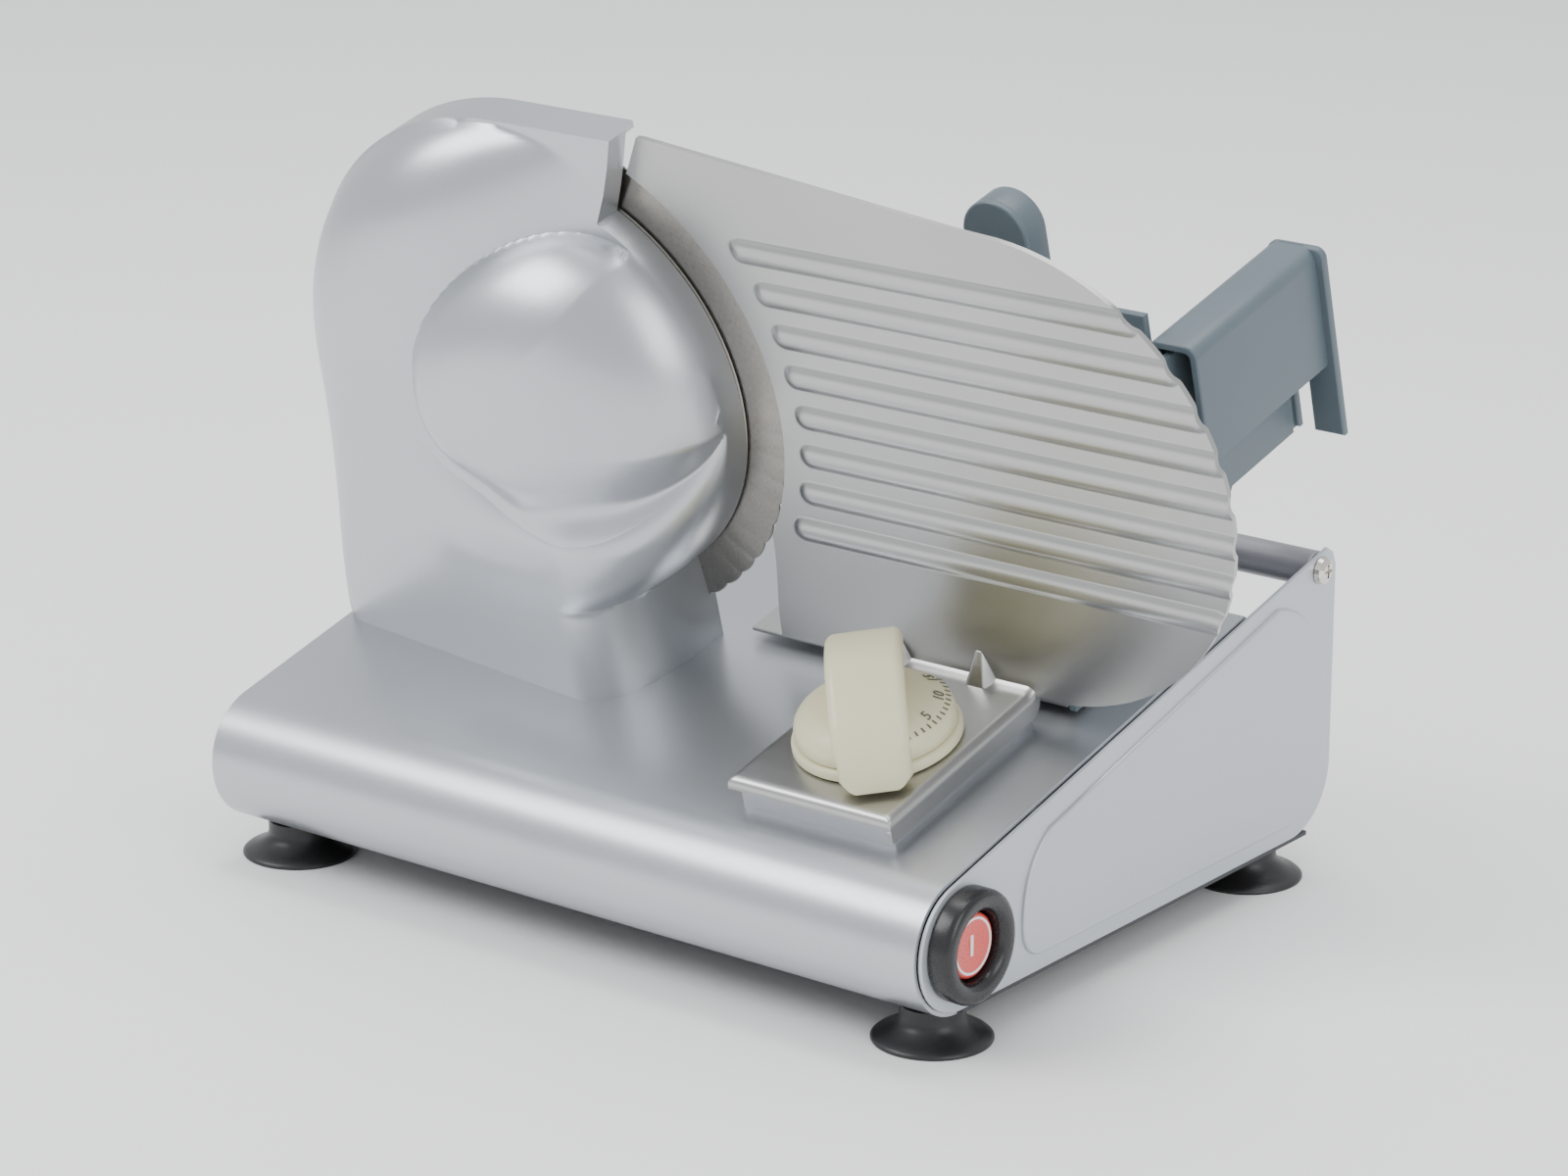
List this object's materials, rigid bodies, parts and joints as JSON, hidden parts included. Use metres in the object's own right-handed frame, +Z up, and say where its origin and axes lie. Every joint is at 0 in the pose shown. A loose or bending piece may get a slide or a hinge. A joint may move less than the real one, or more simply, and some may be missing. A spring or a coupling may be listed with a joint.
{
  "type": "deli meat slicer",
  "caption": "Countertop gravity-feed food slicer: sloping base, round scalloped blade in a domed housing, sliding guide plate with thickness knob, carriage on a rod and food pusher.",
  "frame": {"origin": "middle of the footprint, on the surface the feet stand on", "axes": "+X to the slicer's right, where the switch is; +Y to the back, where the carriage rod is; +Z up"},
  "size_m": [0.3776, 0.2576, 0.2791],
  "materials": {
    "painted_silver": "satin silver paint with a fine texture",
    "bare_aluminium": "satin rolled aluminium",
    "blade_steel": "brushed stainless steel",
    "nickel": "bright nickel plate",
    "rod_paint": "grey paint",
    "pan_paint": "dark grey paint",
    "blue_grey_plastic": "moulded, fine satin",
    "cream_plastic": "moulded, fine satin",
    "black_plastic": "moulded, semi-gloss",
    "black_rubber": "smooth rubber",
    "red_plastic": "moulded, gloss, with white print",
    "white_nylon": "machined or moulded nylon",
    "brass": "turned"
  },
  "bodies": {
    "base": {"base_cover": "painted_silver", "base_pan": "pan_paint", "button_spring": "blade_steel", "cam_follower": "blade_steel", "carriage_rod": "rod_paint", "cord_gland": "black_plastic", "drive_motor": "blade_steel", "foot_front_left": "black_rubber", "foot_front_right": "black_rubber", "foot_rear_left": "black_rubber", "foot_rear_right": "black_rubber", "foot_screw_front_left": "nickel", "foot_screw_front_right": "nickel", "foot_screw_rear_left": "nickel", "foot_screw_rear_right": "nickel", "motor_bracket": "pan_paint", "motor_housing": "painted_silver", "power_switch": "black_plastic", "rear_guard": "bare_aluminium", "rod_screw_left": "nickel", "rod_screw_right": "nickel", "side_panel_left": "painted_silver", "side_panel_right": "painted_silver", "slider_tray": "painted_silver", "spindle_bush": "brass", "switch_bezel": "black_plastic", "terminal_block": "white_nylon"},
    "blade_assembly": {"blade": "blade_steel", "blade_spindle": "blade_steel", "blade_screw": "nickel", "drive_gear": "white_nylon"},
    "motor_rotor": {"pinion": "brass", "motor_shaft": "blade_steel"},
    "guide": {"guide_plate": "bare_aluminium"},
    "thickness_knob": {"knob": "cream_plastic", "dial_ring": "cream_plastic", "knob_spindle": "white_nylon", "thickness_cam": "white_nylon"},
    "carriage": {"carriage_floor": "bare_aluminium", "carriage_wall": "blue_grey_plastic", "rod_bush_left": "white_nylon", "rod_bush_right": "white_nylon", "carriage_glide_left": "white_nylon", "carriage_glide_right": "white_nylon"},
    "pusher": {"food_pusher": "blue_grey_plastic"},
    "button": {"switch_button": "red_plastic"}
  },
  "joints": [
    {"name": "blade_spin", "type": "hinge", "parent": "base", "child": "blade_assembly", "pos_m": [-0.0872, -0.04719, 0.18145], "axis": [0, 0.9659, 0.2588], "continuous": true},
    {"name": "motor_spin", "type": "hinge", "parent": "base", "child": "motor_rotor", "pos_m": [-0.09972, -0.0375, 0.11054], "axis": [0, 0.9659, 0.2588], "continuous": true},
    {"name": "knob_turn", "type": "hinge", "parent": "guide", "child": "thickness_knob", "pos_m": [0.0658, -0.06632, 0.07125], "axis": [0, -0.2588, 0.9659], "range_deg": [0, 300]},
    {"name": "plate_slide", "type": "slide", "parent": "base", "child": "guide", "axis": [0, -0.9659, -0.2588], "range_m": [0, 0.015]},
    {"name": "carriage_slide", "type": "slide", "parent": "base", "child": "carriage", "axis": [-1, 0, 0], "range_m": [0, 0.18]},
    {"name": "pusher_slide", "type": "slide", "parent": "carriage", "child": "pusher", "axis": [0, -0.9659, -0.2588], "range_m": [0, 0.074]},
    {"name": "button_press", "type": "slide", "parent": "base", "child": "button", "axis": [-1, 0, 0], "range_m": [0, 0.003], "stiffness_N_per_m": 600, "springref_m": -0.0005, "deforming": ["button_spring"]}
  ],
  "couplings": [
    {"joint": "motor_spin", "follows": "blade_spin", "ratio": -5},
    {"joint": "knob_turn", "follows": "plate_slide", "rad_per_m": 349.06}
  ]
}
